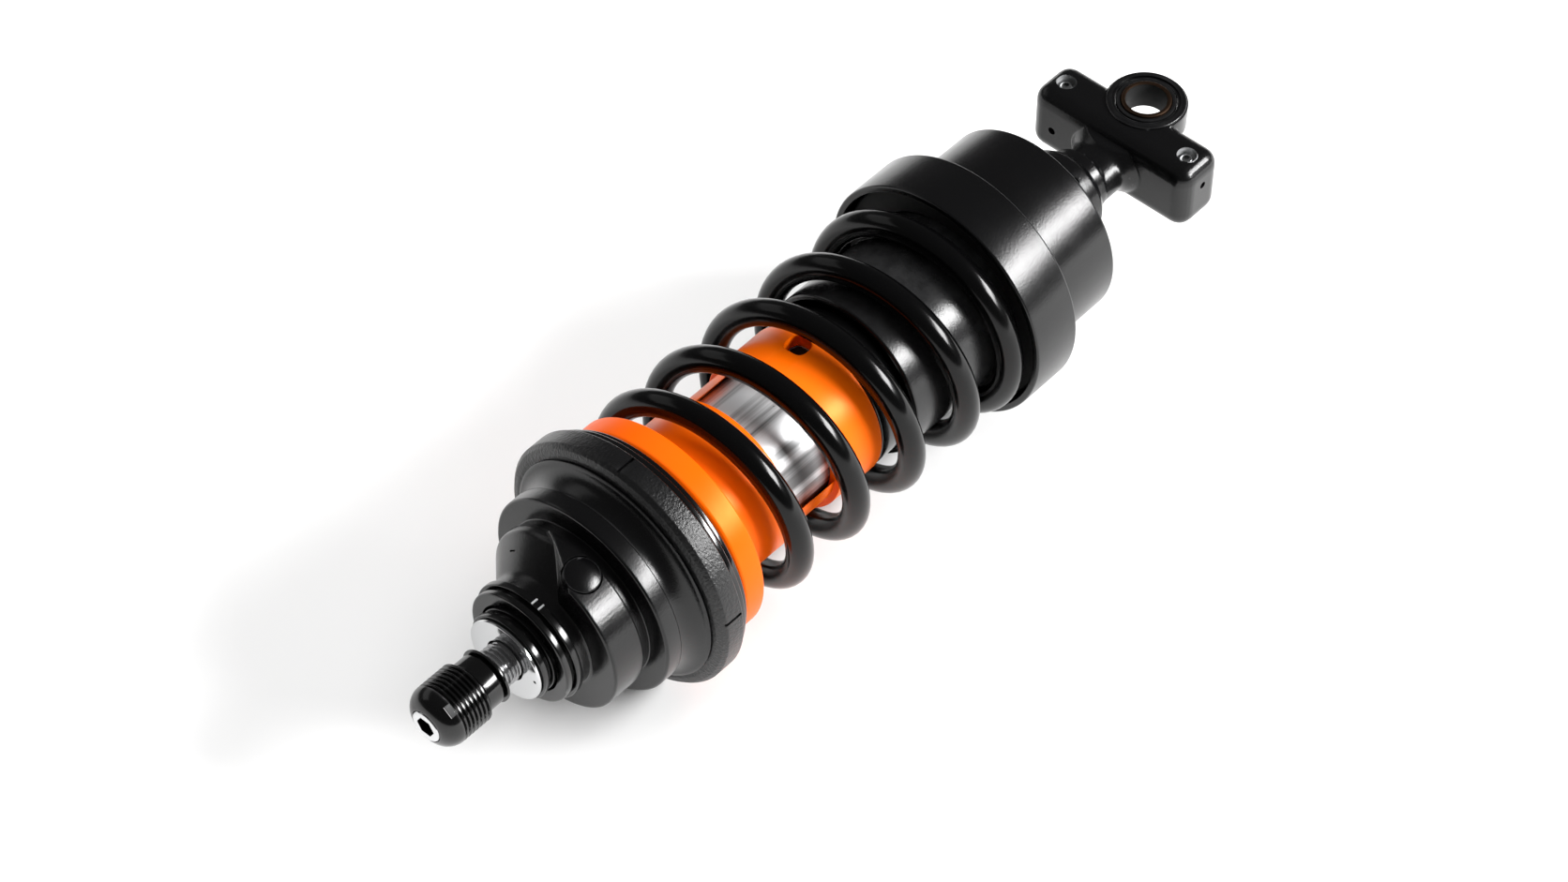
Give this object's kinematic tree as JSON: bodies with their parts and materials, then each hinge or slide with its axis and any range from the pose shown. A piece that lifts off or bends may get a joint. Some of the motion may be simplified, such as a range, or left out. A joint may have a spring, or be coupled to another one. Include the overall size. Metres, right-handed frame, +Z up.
{
  "type": "rear shock",
  "caption": "Coil-sprung bicycle rear shock with a threaded stud at one end, a preload collar, a slotted spring guide and a T-shaped yoke with an eye at the other end.",
  "frame": {"origin": "centre of the bounding box, at its bottom face", "axes": "+X along the shock's axis from the threaded stud to the eye, +Z up, with the shock lying on its side and the eye's bore upright"},
  "size_m": [0.2516, 0.064, 0.064],
  "materials": {
    "black_anodised": "satin black anodised",
    "black_gloss": "gloss black",
    "spring_black": "gloss black powder coat",
    "grey_textured": "fine-grained dark grey",
    "orange_anodised": "polished orange anodised",
    "orange_plastic": "satin",
    "chrome": "polished",
    "polished_steel": "polished",
    "dark_steel": "turned",
    "raw_aluminium": "machined",
    "bronze": "turned",
    "rubber": "matte"
  },
  "bodies": {
    "damper": {"threaded_cap": "black_gloss", "stud_shaft": "dark_steel", "seat_washer": "chrome", "dust_ring": "black_gloss", "stud_bearing": "black_anodised", "retainer_nut": "black_gloss", "valve_housing": "black_anodised", "bleed_plug": "grey_textured", "gas_bladder": "rubber", "lock_ring": "black_anodised", "damper_head": "black_anodised", "damper_tube": "polished_steel", "base_valve": "raw_aluminium", "base_shims": "dark_steel", "guide_cage": "orange_anodised", "seal_head": "black_gloss", "rod_bushing": "bronze", "rod_seal": "rubber", "tube_seal": "rubber", "wiper_seal": "rubber"},
    "adjuster": {"adjuster_hex": "chrome", "adjuster_spindle": "dark_steel"},
    "spring_perch": {"thrust_washer": "black_gloss", "thrust_race": "black_gloss", "spring_seat": "orange_plastic", "coil_spring": "spring_black"},
    "collar": {"preload_collar": "grey_textured"},
    "shaft": {"damper_rod": "chrome", "piston_nut": "dark_steel", "rebound_shims": "dark_steel", "main_piston": "raw_aluminium", "piston_band": "bronze", "compression_shims": "dark_steel", "spring_guide": "black_anodised", "spring_isolator": "rubber", "spring_cup": "black_anodised", "upper_body": "black_anodised", "bump_stop": "rubber", "neck_nut": "black_anodised", "neck_screw": "dark_steel", "yoke_block": "black_anodised", "yoke_screw_left": "polished_steel", "yoke_screw_right": "polished_steel", "eye_liner": "black_anodised"},
    "pivot_sleeve": {"eye_sleeve": "bronze"}
  },
  "joints": [
    {"name": "shock_stroke", "type": "slide", "parent": "damper", "child": "shaft", "axis": [-1, 0, 0], "range_m": [0, 0.045], "stiffness_N_per_m": 79000, "deforming": ["coil_spring"]},
    {"name": "preload_slide", "type": "slide", "parent": "damper", "child": "spring_perch", "axis": [1, 0, 0], "range_m": [0, 0.002]},
    {"name": "collar_turn", "type": "hinge", "parent": "spring_perch", "child": "collar", "pos_m": [-0.06425, 0, 0.032], "axis": [1, 0, 0], "range_deg": [0, 720]},
    {"name": "adjuster_turn", "type": "hinge", "parent": "damper", "child": "adjuster", "pos_m": [-0.12375, 0, 0.032], "axis": [1, 0, 0], "range_deg": [-360, 360]},
    {"name": "eye_pivot", "type": "hinge", "parent": "shaft", "child": "pivot_sleeve", "pos_m": [0.11575, 0, 0.032], "axis": [0, 0, 1], "continuous": true}
  ],
  "couplings": [
    {"joint": "preload_slide", "follows": "collar_turn", "m_per_rad": 0.00015915}
  ]
}
